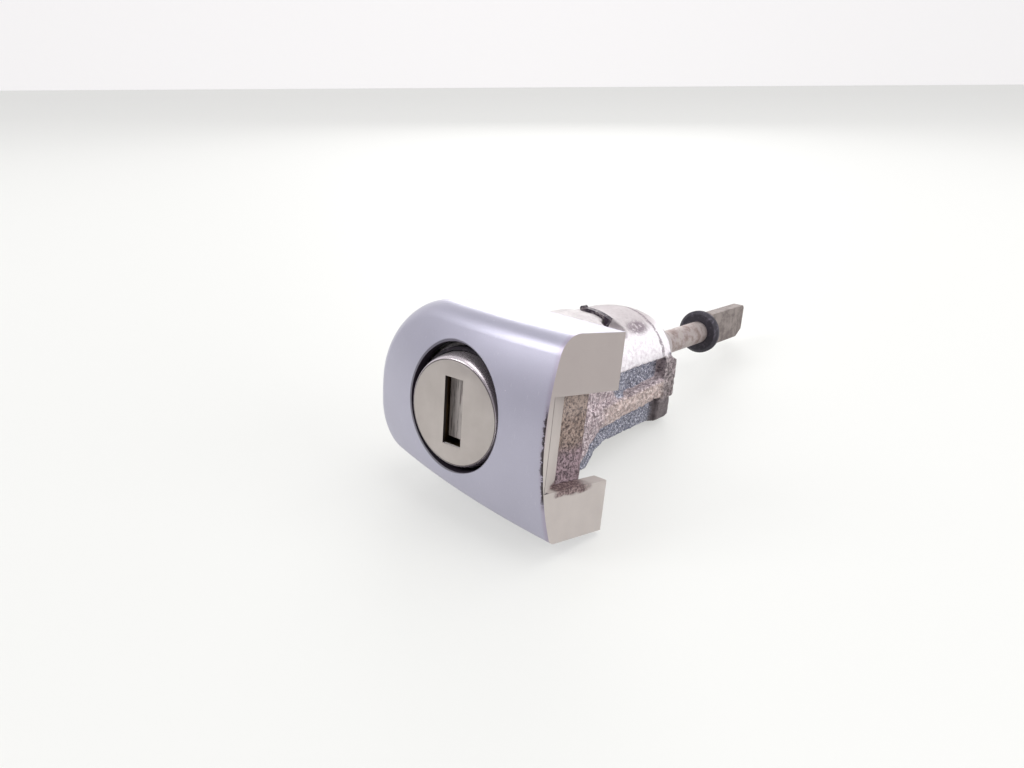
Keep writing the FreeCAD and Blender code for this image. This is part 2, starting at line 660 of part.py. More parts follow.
dome_long = "(barrel_end - dome_start)"
rear_r = "(chamber_r + rear_wall)"
dome_drop = "(barrel_r - %s)" % rear_r
dome_curve = "((%s ^ 2 + %s ^ 2) / (2 * %s))" % (dome_long, dome_drop, dome_drop)
barrel = turned("casting_barrel", [
    ("nose_front", "0"),
    ("nose_front", "nose_r"),
    ("nose_end", "nose_r"),
    ("nose_end", "collar_r"),
    ("collar_end", "collar_r"),
    ("collar_end", "barrel_r"),
    ("dome_start", "barrel_r", "-" + dome_curve),
    ("barrel_end", rear_r),
    ("barrel_end", "0"),
])
for side, sign in (("right", ""), ("left", "-")):
    pocket_back(barrel, "casting_flat_" + side,
                block(sign + "(flat_x + barrel_r / 2)", "0", "barrel_r", "3 * barrel_r"),
                "flat_start", "barrel_end - flat_start + past")

keel = new_body("casting_keel")
pad_back(keel, "casting_keel_bar", [
    ("-keel_x", "0"),
    ("-keel_x", "-keel_low + keel_bevel"),
    ("-keel_x + keel_bevel", "-keel_low"),
    ("keel_x - keel_bevel", "-keel_low"),
    ("keel_x", "-keel_low + keel_bevel"),
    ("keel_x", "0"),
], "nose_end", "lug_start - nose_end")


def both_sides(body, feature):
    """Repeat a feature of the right flank on the left one."""
    mirror = body.newObject("PartDesign::Mirrored", feature.Name + "_both")
    mirror.Originals = [feature]
    mirror.MirrorPlane = (next(item for item in body.Origin.OriginFeatures if item.Role == "YZ_Plane"), [""])
    body.Tip = mirror


gussets = new_body("casting_gussets")
gusset_flat = new_sketch(gussets, "casting_gusset_outline", "YZ_Plane", "keel_x - gusset_wide")
outline(gusset_flat, [
    ("nose_end", "-rib_top"),
    ("nose_end", "-gusset_low"),
    ("gusset_foot", "-gusset_low"),
    ("gusset_foot + toe_long", "-gusset_low + toe_tall"),
    ("gusset_foot + blend_long", "-keel_low"),
    ("gusset_foot + blend_long", "-rib_top"),
])
gusset = pad(gussets, "casting_gusset", gusset_flat, "gusset_wide")
both_sides(gussets, gusset)

lug = new_body("casting_lug")
lug_bar = pad_back(lug, "casting_lug_bar", block("0", "-lug_low / 2", "2 * lug_x", "lug_low"),
                   "lug_start", "lug_end - lug_start")
soften(lug, "casting_lug_round", lug_bar, "lug_round",
       lambda edge: edge.BoundBox.ZMax < -value("lug_low") / 2 and edge.BoundBox.XLength < 1e-6)
pads = new_body("casting_pads")
pad_side = new_sketch(pads, "casting_pads_outline", "YZ_Plane")
outline(pad_side, [
    ("pad_start", "-pad_low"),
    ("pad_end - pad_round", "-pad_low", "pad_round"),
    ("pad_end", "-pad_low + pad_round"),
    ("pad_end", "pad_top - pad_drop"),
    ("pad_start", "pad_top"),
])
pad(pads, "casting_pads_bar", pad_side, "2 * pad_x", both_ways=True)

channels = new_body("casting_channels")
channel_floor = "keel_x - recess_deep"
upper = new_sketch(channels, "upper_channel_outline", "YZ_Plane", channel_floor)
outline(upper, [
    ("channel_front", "-rib_top"),
    ("pad_start", "-rib_top + rib_climb"),
    ("pad_start", "channel_top"),
    ("channel_front + channel_slant", "channel_top"),
])
upper_cut = pad(channels, "upper_channel", upper, "barrel_r")
both_sides(channels, upper_cut)
shelves = new_body("casting_shelves")
shelf = new_sketch(shelves, "shelf_outline", "YZ_Plane", "keel_x - shelf_deep")
outline(shelf, [
    ("shelf_front", "-rib_top"),
    ("channel_front", "-rib_top"),
    ("channel_front + channel_slant", "channel_top"),
    ("shelf_front", "channel_top"),
])
shelf_cut = pad(shelves, "shelf", shelf, "barrel_r")
both_sides(shelves, shelf_cut)
low_channels = new_body("casting_low_channels")
lower = new_sketch(low_channels, "lower_channel_outline", "YZ_Plane", channel_floor)
outline(lower, [
    ("skin_front", "-skin_low", "skin_curve"),
    ("skin_bend", "-skin_mid", "-skin_curve"),
    ("skin_rear", "-rib_low - skin_climb"),
    ("pad_start", "-rib_low"),
    ("pad_start", "-pad_low"),
    ("lug_start", "-pad_low"),
    ("lug_start", "-gusset_low - past"),
    ("skin_front", "-gusset_low - past"),
])
lower_cut = pad(low_channels, "lower_channel", lower, "barrel_r")
both_sides(low_channels, lower_cut)

flange = crowned_block("casting_flange", "cap_wall + flange_gap", "flank_wall + flange_gap",
                       "cap_wall + flange_gap + flange_sink", "flange_rear")
foot_room = crowned_block("casting_foot_room", "2 * flange_gap", "2 * flange_gap", "0", "2 * gusset_foot")
feet = doc.addObject("Part::Common", "casting_feet")
feet.Base = gussets
feet.Tool = foot_room
room_outside = new_body("cap_room_outside")
pad_back(room_outside, "cap_room_block", block("0", "0", "4 * cap_left", "4 * cap_left"),
         "-cap_left", "cap_left + cap_rear + flange_gap")
room_outside.Placement = moulding.Placement
room_inside = crowned_block("cap_room_inside", "cap_wall + flange_gap", "flank_wall + flange_gap",
                            "cap_wall + flange_gap", "cap_rear + flange_gap + past")
cap_room = cut_away("cap_room", room_outside, [room_inside])
bore = turned("casting_bore", [
    ("0", "0"),
    ("0", "plug_r + run_gap"),
    (shoulder_front, "plug_r + run_gap"),
    (shoulder_front, "neck_r + run_gap"),
    (shoulder_back, "neck_r + run_gap"),
    (shoulder_back, "chamber_r"),
    ("barrel_end", "chamber_r"),
    ("barrel_end", "cover_r + fit_gap"),
    ("cover_end", "cover_r + fit_gap"),
    ("cover_end", "0"),
])
relief = rod("casting_head_relief", seal_in + " + seal_wall + flange_gap", "nose_front", BACK)
screw_hole = rod("fixing_screw_hole", "screw_r", "screw_deep + past", RIGHT,
                 "-lug_x - past", "screw_y", "-screw_low")
clip_pocket = turned("casting_clip_pocket", [
    ("collar_end", "clip_pocket_r"),
    ("clip_pocket_end", "clip_pocket_r"),
    ("clip_pocket_end", "barrel_r + collar_r"),
    ("collar_end", "barrel_r + collar_r"),
], "clip_pocket_sweep")
clip_pocket.Placement = Placement(Vector(), Rotation(BACK, value("cap_clip_right - clip_pocket_spare")))
flange_y = "(%s + hub_gap + hub_long)" % neck_end
stop_y = "(%s + flange_long / 2)" % flange_y
stop_hole = rod("stop_pin_hole", "stop_r", "lug_low", UP, "0", stop_y, "-lug_low - stop_reach")
casting = joined("casting", [barrel, keel, feet, lug, pads, flange])
cut_away("housing", casting, [cap_room, bore, relief, screw_hole, stop_hole, clip_pocket, channels, shelves,
                              low_channels])

# Stop pin: a dowel pressed into the casting that the driver's notch runs against.

rod("stop_pin", "stop_r", "lug_low - stop_reach - stop_sink", UP, "0", stop_y, "-lug_low + stop_sink")

# Cap clip: a spring steel strip over the barrel, with a curled end and a leg in the casting's pocket.

strip = turned("cap_clip_strip", [
    ("cap_clip_y", "barrel_r"),
    ("cap_clip_y + cap_clip_wide", "barrel_r"),
    ("cap_clip_y + cap_clip_wide", "barrel_r + cap_clip_thick"),
    ("cap_clip_y", "barrel_r + cap_clip_thick"),
], "cap_clip_left + cap_clip_right")
curl = new_sketch(strip, "cap_clip_curl_circle", "XZ_Plane", "-cap_clip_y")
ring(curl, "curl_r", "0", "barrel_r + curl_r")
pad(strip, "cap_clip_curl", curl, "cap_clip_wide", backwards=True)
strip.Placement = Placement(Vector(), Rotation(BACK, -value("cap_clip_left")))
leg = new_body("cap_clip_leg")
leg_high = "(barrel_r + cap_clip_thick / 2)"
pad_back(leg, "cap_clip_leg_bar",
         block("-leg_thick / 2", "(leg_low + %s) / 2" % leg_high, "leg_thick", leg_high + " - leg_low"),
         "cap_clip_y", "cap_clip_wide")
leg.Placement = Placement(Vector(), Rotation(BACK, value("cap_clip_right")))
joined("cap_clip", [strip, leg])

# Driver: the cam on the plug's tang that turns the tail, with a notch that limits the turn.

hub_front = "(%s + hub_gap)" % neck_end
flange_back = "(%s + flange_long)" % flange_y
driver = turned("driver", [
    (hub_front, "0"),
    (hub_front, "hub_r"),
    (flange_y, "hub_r"),
    (flange_y, "flange_r"),
    (flange_back, "flange_r"),
    (flange_back, "boss_r"),
    (flange_back + " + boss_long", "boss_r"),
    (flange_back + " + boss_long", "0"),
])
pocket_back(driver, "driver_tang_slot",
            block("0", "0", "tang_wide + 2 * fit_gap", "tang_tall + 2 * fit_gap"),
            hub_front + " - past", "tang_long + past")
tail_root = "(%s + tail_inset)" % flange_y
tail_seat = new_sketch(driver, "driver_tail_circle", "XZ_Plane", "-" + tail_root)
ring(tail_seat, "tail_r")
pocket(driver, "driver_tail_seat", tail_seat, "%s + boss_long + past - %s" % (flange_back, tail_root))
notch_r = "(stop_reach - stop_gap)"
half_turn = "(turn_limit + stop_spare + asin(stop_r / stop_reach) / 1 deg)"
sweep_out = "(flange_r + past)"
pocket_back(driver, "driver_stop_notch", [
    ("-%s * sin(%s)" % (notch_r, half_turn), "-%s * cos(%s)" % (notch_r, half_turn), notch_r),
    ("%s * sin(%s)" % (notch_r, half_turn), "-%s * cos(%s)" % (notch_r, half_turn)),
    ("%s * sin(%s)" % (sweep_out, half_turn), "-%s * cos(%s)" % (sweep_out, half_turn), "-" + sweep_out),
    ("-%s * sin(%s)" % (sweep_out, half_turn), "-%s * cos(%s)" % (sweep_out, half_turn)),
], flange_y + " - past", "flange_long + 2 * past")
pin_seat = new_sketch(driver, "driver_pin_circle", "YZ_Plane")
cross_y = "(%s + boss_long / 2)" % flange_back
ring(pin_seat, "cross_pin_r", cross_y, "0")
pocket(driver, "driver_pin_hole", pin_seat, "4 * boss_r", both_ways=True)
rod("driver_pin", "cross_pin_r", "2 * (boss_r - fit_gap)", RIGHT, "-boss_r + fit_gap", cross_y)

# Return spring: a torsion coil round the driver's hub.

coil_front = value(hub_front + " + hub_gap + spring_wire")
helix = Part.makeHelix(value("spring_pitch"), value("spring_pitch") * value("spring_turns"), value("spring_r"))
wire_end = Part.Circle(Vector(value("spring_r"), 0, 0), BACK, value("spring_wire")).toShape()
sweep = Part.Wire(helix.Edges).makePipeShell([Part.Wire([wire_end])], True, True)
return_spring = doc.addObject("Part::Feature", "return_spring")
return_spring.Shape = sweep
return_spring.Placement = Placement(Vector(0, coil_front, 0), Rotation(UP, BACK))

# Rear cover: a pressed cone that closes the chamber round the tail.

cover_in = "(tail_r + cover_hole_gap)"
turned("rear_cover", [
    ("barrel_end", "cover_r - cover_wall"),
    ("barrel_end", "cover_r"),
    ("barrel_end + cover_rim", "cover_r"),
    ("cover_end", cover_in + " + cover_wall"),
    ("cover_end", cover_in),
    ("barrel_end + cover_rim", "cover_r - cover_wall"),
])

# Tail: a steel rod whose end is flattened to an upright blade.

half_tall = "(blade_tall / 2)"
blade_end = "(blade_start + blade_long)"
tail = turned("tail_shaft", [
    (tail_root, "0"),
    (tail_root, "tail_r"),
    ("blade_start + blade_flare", "tail_r"),
    ("blade_start + blade_flare", "0"),
])
blade_flat = new_sketch(tail, "tail_blade_outline", "YZ_Plane")
outline(blade_flat, [
    ("blade_start", "-blade_root"),
    ("blade_start + blade_flare", "-" + half_tall),
    (blade_end + " - blade_slant", "-" + half_tall),
    (blade_end, "-%s + blade_corner" % half_tall),
    (blade_end, half_tall + " - blade_bevel"),
    (blade_end + " - blade_bevel", half_tall),
    ("blade_start + blade_flare", half_tall),
    ("blade_start", "blade_root"),
])
pad(tail, "tail_blade", blade_flat, "blade_thick", both_ways=True)
tail_hole = new_sketch(tail, "tail_pin_circle", "YZ_Plane")
ring(tail_hole, "cross_pin_r", cross_y, "0")
pocket(tail, "tail_pin_hole", tail_hole, "4 * tail_r", both_ways=True)

# Disc: a black plastic collar pushed on the tail.

turned("tail_disc", [
    ("disc_front", "tail_r"),
    ("disc_front", "disc_r - disc_edge"),
    ("disc_front + disc_edge", "disc_r"),
    ("disc_front + disc_thick - disc_edge", "disc_r"),
    ("disc_front + disc_thick", "disc_r - disc_edge"),
    ("disc_front + disc_thick", "tail_r"),
])

doc.recompute()

# Every object is sound before anything is written

NODES = ["cap", "housing", "plug", "plug_face", "face_seal", "shutter", "shutter_pin", "shutter_spring",
         "wafer_springs", "circlip", "return_spring", "driver", "driver_pin", "stop_pin", "rear_cover",
         "cap_clip", "tail_shaft", "tail_disc"]
NODES += ["wafer_%d" % (number + 1) for number in range(int(value("wafer_count")))]

for item in doc.Objects:
    if "Invalid" in item.State or "Error" in item.State:
        raise RuntimeError("%s did not build: %s" % (item.Label, item.State))
for node in NODES:
    shape = doc.getObjectsByLabel(node)[0].Shape
    if shape.isNull() or not shape.isValid() or not shape.Solids:
        raise RuntimeError("%s has no sound solid" % node)
    print("%-16s %d solid, %9.2f mm3" % (node, len(shape.Solids), shape.Volume))
    shape.exportStep("parts/%s.step" % node)
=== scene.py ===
import math

import bmesh
import bpy
from mathutils import Euler, Matrix, Vector, noise
from mathutils.bvhtree import BVHTree


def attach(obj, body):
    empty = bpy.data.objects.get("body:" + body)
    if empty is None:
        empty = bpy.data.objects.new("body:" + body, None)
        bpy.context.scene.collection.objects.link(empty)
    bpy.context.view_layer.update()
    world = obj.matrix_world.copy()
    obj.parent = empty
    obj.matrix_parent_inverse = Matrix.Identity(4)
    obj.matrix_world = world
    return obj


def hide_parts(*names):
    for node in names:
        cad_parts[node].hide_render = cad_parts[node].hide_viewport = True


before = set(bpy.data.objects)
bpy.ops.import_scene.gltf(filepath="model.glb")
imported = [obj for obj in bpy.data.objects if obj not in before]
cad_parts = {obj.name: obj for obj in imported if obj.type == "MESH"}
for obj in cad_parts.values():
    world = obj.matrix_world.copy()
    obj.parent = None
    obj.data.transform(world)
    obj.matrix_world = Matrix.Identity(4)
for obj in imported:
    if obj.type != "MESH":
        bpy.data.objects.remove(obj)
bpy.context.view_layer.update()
MM = 0.001

# Camera. The lock was photographed by hand from its front right, a little above the table, with a
# phone's wide lens held level.

camera = bpy.data.objects.new("camera", bpy.data.cameras.new("camera"))
bpy.context.collection.objects.link(camera)
camera.data.sensor_width = 36
camera.data.lens = 28.125
camera.data.clip_start = 0.005
camera.location = Vector((68.89, -77.57, 37.45)) * MM
camera.rotation_euler = [math.radians(angle) for angle in (72.43, -3.85, 38.49)]
bpy.context.scene.camera = camera
bpy.context.scene.view_settings.view_transform = "Standard"


# Table. The lock lies on a white painted board in front of a white wall. The cap's lower edge and the
# casting's lug carry it, so its axis points a little upwards at the front.


class Amount:
    """A value that changes over a surface. Sums and products of amounts add their Math nodes."""

    def __init__(self, pattern, socket):
        self.pattern = pattern
        self.socket = socket

    def reckon(self, operation, first, second=0.0):
        return self.pattern.node("ShaderNodeMath", {"operation": operation}, {0: first, 1: second})

    def __add__(self, other):
        return self.reckon("ADD", self, other)

    def __sub__(self, other):
        return self.reckon("SUBTRACT", self, other)

    def __rsub__(self, other):
        return self.reckon("SUBTRACT", other, self)

    def __mul__(self, other):
        return self.reckon("MULTIPLY", self, other)

    def __abs__(self):
        return self.reckon("ABSOLUTE", self)

    __radd__ = __add__
    __rmul__ = __mul__


class Pattern:
    """The nodes of one material or of the room. Places are in millimetres."""

    def __init__(self, tree, place):
        self.tree = tree
        self.place = self.node("ShaderNodeTexCoord", output=place)

    def feed(self, socket, amount):
        if isinstance(amount, Amount):
            self.tree.links.new(amount.socket, socket)
        else:
            socket.default_value = amount

    def node(self, kind, settings=None, inputs=None, output=0):
        """One node: its settings first, then its inputs by name or number."""
        made = self.tree.nodes.new(kind)
        for setting, choice in (settings or {}).items():
            setattr(made, setting, choice)
        for socket, amount in (inputs or {}).items():
            self.feed(made.inputs[socket], amount)
        return Amount(self, made.outputs[output])

    def along(self, direction, vector=None):
        """How far the place, or another vector, reaches along a direction."""
        return self.node("ShaderNodeVectorMath", {"operation": "DOT_PRODUCT"},
                         {0: vector or self.place, 1: direction}, output="Value")

    def ramp(self, amount, low, high):
        """0 below low, 1 above high, with a soft step between."""
        return self.node("ShaderNodeMapRange", {"interpolation_type": "SMOOTHSTEP"}, {
            "Value": amount,
            "From Min": low,
            "From Max": high,
        })

    def within(self, amount, low, high, soft):
        """1 between low and high, with soft ends."""
        return self.ramp(amount, low - soft, low + soft) * (1 - self.ramp(amount, high - soft, high + soft))

    def mix(self, amount, first, second):
        """The first colour where amount is 0 and the second where it is 1."""
        return self.node("ShaderNodeMix", {"data_type": "RGBA"}, {"Factor": amount, 6: first, 7: second},
                         output=2)


class Finish(Pattern):
    """A material of one shader, and the nodes that vary it."""

    def __init__(self, name, **constants):
        self.material = bpy.data.materials.new(name)
        self.material.use_nodes = True
        super().__init__(self.material.node_tree, "Object")
        self.shader = self.tree.nodes["Principled BSDF"]
        self.set(**constants)

    def set(self, **inputs):
        """Feed the shader's own sockets."""
        for socket, amount in inputs.items():
            self.feed(self.shader.inputs[socket.replace("_", " ")], amount)

    def facing(self):
        """The surface's own direction, before any bump."""
        return self.node("ShaderNodeTexCoord", output="Normal")

    def noise(self, size, detail=3, roughness=0.5, stretch=None, turn=(0, 0, 0)):
        """Cloudy noise from 0 to 1, whose patches are about that many millimetres across."""
        place = self.place
        if stretch:
            place = self.node("ShaderNodeMapping", inputs={"Vector": place, "Rotation": turn, "Scale": stretch})
        return self.node("ShaderNodeTexNoise", inputs={
            "Vector": place,
            "Scale": 1 / (size * MM),
            "Detail": detail,
            "Roughness": roughness,
        })

    def bump(self, height, depth):
        """A normal from a height of 0 to 1 that stands for that many millimetres."""
        return self.node("ShaderNodeBump", inputs={"Height": height, "Distance": depth * MM, "Strength": 1.0})


def tone(red, green, blue):
    """A colour as seen on a screen, from 0 to 255, as the shader's own numbers."""
    def linear(level):
        level /= 255
        return level / 12.92 if level <= 0.04045 else ((level + 0.055) / 1.055) ** 2.4
    return (linear(red), linear(green), linear(blue), 1)


LEAN = math.radians(6.7)
table_up = Vector((0, -math.sin(LEAN), math.cos(LEAN)))
lowest = min(table_up.dot(vertex.co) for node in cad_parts.values() for vertex in node.data.vertices)


def stand(name, away, height, depth, turn):
    """A flat white board, that far behind the lock, lying on the table or stood up on its edge."""
    sheet = bmesh.new()
    bmesh.ops.create_grid(sheet, x_segments=1, y_segments=1, size=0.5)
    steps = (
        Matrix.Rotation(LEAN, 4, "X"),
        Matrix.Translation((0, 0, lowest)),
        Matrix.Rotation(camera.rotation_euler.z, 4, "Z"),
        Matrix.Translation((0, away, height)),
        Matrix.Rotation(math.radians(turn), 4, "X"),
        Matrix.Diagonal((4.0, depth, 1, 1)),
    )
    for step in reversed(steps):
        bmesh.ops.transform(sheet, matrix=step, verts=sheet.verts)
    mesh = bpy.data.meshes.new(name)
    sheet.to_mesh(mesh)
    sheet.free()
    board = bpy.data.objects.new(name, mesh)
    bpy.context.collection.objects.link(board)
    return board


def white_paint(name, colour, sight):
    """Matt white paint. The camera and shiny metal see it a little brighter than it lights the lock."""
    paint = Finish(name, Base_Color=colour, Roughness=0.6, Emission_Strength=1.0)
    camera_sees = paint.node("ShaderNodeLightPath", output="Is Camera Ray")
    metal_sees = paint.node("ShaderNodeLightPath", output="Is Glossy Ray")
    paint.set(Emission_Color=paint.mix(camera_sees + metal_sees, (0, 0, 0, 1), sight))
    return paint.material


table = stand("table", 0.3, 0, 4.0, 0)
table.data.materials.append(white_paint("table_paint", tone(150, 150, 148), (0.51, 0.51, 0.5, 1)))
wall = stand("wall", 1.35, 0.5, 1.0, 90)
wall.data.materials.append(white_paint("wall_paint", tone(180, 178, 179), (0.74, 0.73, 0.73, 1)))

# Light. A wide lamp over the table, low ones behind it and on its right and a window in front on the left,
# in a pale room that is dimmer towards the camera.

room = bpy.data.worlds.new("room")
bpy.context.scene.world = room
room.use_nodes = True
air = Pattern(room.node_tree, "Generated")
in_front = air.ramp(air.along((0.2, -0.95, -0.2)), 0.0, 0.8)
background = room.node_tree.nodes["Background"]
air.feed(background.inputs["Color"], air.mix(in_front, (0.60, 0.60, 0.61, 1), (0.30, 0.29, 0.31, 1)))
background.inputs["Strength"].default_value = 1.0


def soft_light(name, place, width, power):
    """A square lamp at a place over the table, in metres, that looks at the lock."""
    lamp = bpy.data.lights.new(name, "AREA")
    lamp.size = width
    lamp.energy = power
    light = bpy.data.objects.new(name, lamp)
    bpy.context.collection.objects.link(light)
    light.location = place
    light.rotation_euler = (-Vector(place)).to_track_quat("-Z", "Y").to_euler()


soft_light("overhead", (0.12, 0.18, 0.7), 0.7, 3.0)
soft_light("behind", (-0.3, 0.42, 0.3), 0.3, 0.8)
soft_light("side", (0.55, 0.1, 0.21), 0.4, 2.0)
soft_light("window", (-0.4, -0.5, 0.42), 0.35, 2.2)


# End cap. One moulding in grey plastic, painted lavender silver where it shows and left bare on the
# flank that butts on the handle. It is clipped over the casting's flange.


def dress(node, finish):
    """Give a CAD node its finish."""
    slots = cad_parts[node].data.materials
    slots.clear()
    slots.append(finish.material)


HOLE_MIDDLE = Vector((-0.25, 0, 0.6))
HOLE_RIM = 9.5
cap_turn = Euler([math.radians(angle) for angle in (-5.7, -3.0, -7.5)], "XYZ").to_matrix()
cap_right, cap_back, cap_up = [cap_turn @ Vector(axis) for axis in ((1, 0, 0), (0, 1, 0), (0, 0, 1))]

paint = Finish("cap_paint", IOR=1.45, Coat_Roughness=0.24)
across = paint.along(cap_right / MM)
behind = paint.along(cap_back / MM)
above = paint.along(cap_up / MM)
facing = paint.facing()
on_flank = paint.ramp(paint.along(cap_right, facing), 0.55, 0.72)
on_rear = paint.ramp(paint.along(cap_back, facing), 0.8, 0.9)
from_middle = paint.node("ShaderNodeVectorMath", {"operation": "SUBTRACT"}, {0: paint.place, 1: cap_back * 8 * MM})
outer = paint.ramp(paint.node("ShaderNodeVectorMath", {"operation": "DOT_PRODUCT"}, {0: facing, 1: from_middle},
                              output="Value"), 0.0, 0.001)
painted = outer * (1 - on_flank) * (1 - on_rear)
flake = paint.noise(0.1, detail=2)
cloud = paint.noise(9)
grime = paint.noise(3, detail=5, roughness=0.65)
scratch = paint.ramp(paint.noise(0.25, detail=2, stretch=(1, 1, 0.04), turn=(0.2, 0.9, 0.4)), 0.68, 0.74)
nick = paint.ramp(paint.noise(1.6, detail=4, roughness=0.7), 0.735, 0.76)
silver = paint.mix(cloud * 0.5 + flake * 0.5, tone(172, 170, 186), tone(198, 196, 213))
silver = paint.mix(scratch * 0.25, silver, tone(222, 220, 228))
silver = paint.mix(nick, silver, tone(238, 234, 238))
# The band on the face along its edge to the flank: the paint chips there, and painted shade of the edge darkens it.
edge = paint.ramp(across, 15.6, 16.35) * (1 - paint.ramp(behind, 5.0, 7.0))
chipped = paint.ramp(paint.noise(0.9, detail=5, roughness=0.8) + edge * 0.3, 0.69, 0.76) * edge
chipped = chipped * paint.within(above, -8.5, 4.0, 1.2)
# Painted shade of the edge: the band on the face darkens to lilac.
silver = paint.mix(edge * 0.35, silver, tone(150, 122, 150))
silver = paint.mix(chipped, silver, tone(46, 34, 38))
# Painted shade: the face darkens round the rim of the plug's hole, further out on the right, widening the dark gap.
hole_place = paint.node("ShaderNodeVectorMath", {"operation": "MULTIPLY_ADD"}, {
    0: paint.place, 1: (1 / MM, 0, 1 / MM), 2: -HOLE_MIDDLE})
hole_rim_shade = paint.node("ShaderNodeVectorMath", {"operation": "LENGTH"}, {0: hole_place}, output="Value")
hole_rim_shade = 1 - paint.ramp(hole_rim_shade + paint.ramp(across + grime * 2, -3.0, 5.0) * 0.35,
                           HOLE_RIM - 0.1, HOLE_RIM + 0.1)
silver = paint.mix(hole_rim_shade * 0.85, silver, tone(84, 78, 92))
# Painted shade: the bare flank darkens to lilac along its front edge, next to the face.
flank_edge_shade = 1 - paint.ramp(behind + above * above * 0.011 + grime * 0.5, 1.2, 1.7)
bare = paint.mix(grime, tone(176, 168, 164), tone(194, 186, 181))
# Painted shade: the bare flank is darker towards its top.
bare = paint.mix(paint.ramp(above, 0.0, 7.0) * 0.65, bare, tone(150, 140, 138))
bare = paint.mix(flank_edge_shade * 0.4, bare, tone(160, 136, 150))
# Painted shadow: a thin dark line down the flank where the notch's ramp steps in.
ramp_step_shadow = paint.within(behind, 1.95, 2.15, 0.08) * paint.within(above, -6.9, 5.8, 0.2)
ramp_step_shadow = ramp_step_shadow * paint.ramp(across, 15.0, 16.0)
bare = paint.mix(ramp_step_shadow * 0.8, bare, tone(84, 74, 72))
stain = paint.within(above + (grime - 0.5) * 1.6, -7.7, -6.4, 0.2) * paint.within(behind + grime * 3, 5.8, 12.3, 0.8)
smudge = paint.ramp(paint.noise(0.35, detail=4, roughness=0.7), 0.45, 0.6)
smudge = paint.mix(smudge, tone(84, 66, 68), tone(150, 130, 128))
bare = paint.mix(stain, bare, smudge)
# Painted shade: the cap's inner surfaces near the front, the walls of the hole round the plug, are near black.
hole_wall_shade = (1 - outer) * (1 - paint.ramp(behind, 2.6, 3.2))
bare = paint.mix(hole_wall_shade, bare, tone(52, 45, 56))
paint.set(
    Base_Color=paint.mix(painted, bare, silver),
    Metallic=0.25 + painted * 0.4,
    Roughness=0.5 - painted * 0.12 + grime * 0.08,
    Coat_Weight=painted * 0.6,
    Normal=paint.bump(flake * 0.5 + grime * 0.5, 0.012),
)
dress("cap", paint)


# Casting. Zinc die casting, corroded white and pink on its skin and pitted dark in its channels. Its
# skin is a copy of the solid with worn edges and pits pressed in; its bores keep the solid's size.

MERGE_WITHIN = 0.002
VOXEL = 0.4
CAP_REACH = 12
WIDEST_BORE = 7.0
COVER_SEAT = 48.2
COVER_SEAT_R = 7.8
DEEPEST_PIT = 0.3
BLOT_MIDDLE = Vector((6.3, 17.0, 7.9))
solid = bmesh.new()
solid.from_mesh(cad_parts["housing"].data)
bmesh.ops.remove_doubles(solid, verts=solid.verts, dist=MERGE_WITHIN * MM)
true_skin = BVHTree.FromBMesh(solid)
blank = bpy.data.meshes.new("casting_blank")
solid.to_mesh(blank)
solid.free()
rough_casting = bpy.data.objects.new("rough_casting", blank)
bpy.context.collection.objects.link(rough_casting)
grain = rough_casting.modifiers.new("grain", "REMESH")
grain.mode = "VOXEL"
grain.voxel_size = VOXEL * MM
whole = bpy.data.meshes.new_from_object(rough_casting.evaluated_get(bpy.context.evaluated_depsgraph_get()))
rough_casting.modifiers.clear()
skin = bmesh.new()
skin.from_mesh(whole)
bpy.data.meshes.remove(whole)
for vertex in skin.verts:
    vertex.co = true_skin.find_nearest(vertex.co)[0]


def open_skin(vertex):
    """Whether a place is on the outside of the casting, clear of its bores and of the cap."""
    off_axis = math.hypot(vertex.co.x, vertex.co.z) / MM
    behind_face = vertex.co.y / MM
    clear_of_cover = behind_face < COVER_SEAT or off_axis > COVER_SEAT_R
    return behind_face > CAP_REACH and off_axis > WIDEST_BORE and clear_of_cover


worn = [vertex for vertex in skin.verts if open_skin(vertex)]
for _ in range(2):
    bmesh.ops.smooth_vert(skin, verts=worn, factor=0.5, use_axis_x=True, use_axis_y=True, use_axis_z=True)
skin.normal_update()
for vertex in worn:
    place = vertex.co / MM
    on_top = min(max((place.z - 1) / 5, 0), 1)
    pits = noise.fractal(place * 0.9, 0.7, 2.1, 4)
    dents = noise.noise(place * 0.25)
    depth = (0.10 + 0.14 * (1 - on_top)) * max(pits + 0.15, 0) + 0.06 * max(dents, 0) * (1 - on_top)
    vertex.co -= vertex.normal * min(depth, DEEPEST_PIT) * MM
for face in skin.faces:
    face.smooth = True
skin.to_mesh(rough_casting.data)
skin.free()

zinc = Finish("corroded_zinc", Metallic=0.1)
right = abs(zinc.along((1 / MM, 0, 0)))
back = zinc.along((0, 1 / MM, 0))
up = zinc.along((0, 0, 1 / MM))
sideways = zinc.ramp(abs(zinc.along((1, 0, 0), zinc.facing())), 0.45, 0.7)
patch = zinc.noise(4, detail=5, roughness=0.6)
drift = (patch - 0.5) * 3
crust = zinc.noise(1.0, detail=6, roughness=0.75)
grit = zinc.noise(0.4, detail=6, roughness=0.8)
holes = zinc.ramp(zinc.noise(0.55, detail=5, roughness=0.8), 0.5, 0.58)
specks = zinc.ramp(zinc.noise(0.3, detail=3, roughness=0.75), 0.5, 0.57)
top_tone = zinc.mix(patch, tone(200, 193, 194), tone(222, 216, 216))
top_tone = zinc.mix(holes * 0.15, top_tone, tone(150, 136, 146))
top_tone = zinc.mix(zinc.ramp(back, 31, 38) * 0.4, top_tone, tone(168, 156, 160))
chalk = zinc.mix(holes * 0.4, tone(248, 243, 247), tone(214, 199, 210))
body = zinc.mix(1 - zinc.ramp(up + drift * 0.5, 6.5, 8.5), top_tone, chalk)
low = 1 - zinc.ramp(up + drift * 0.6, 1.2, 2.8)
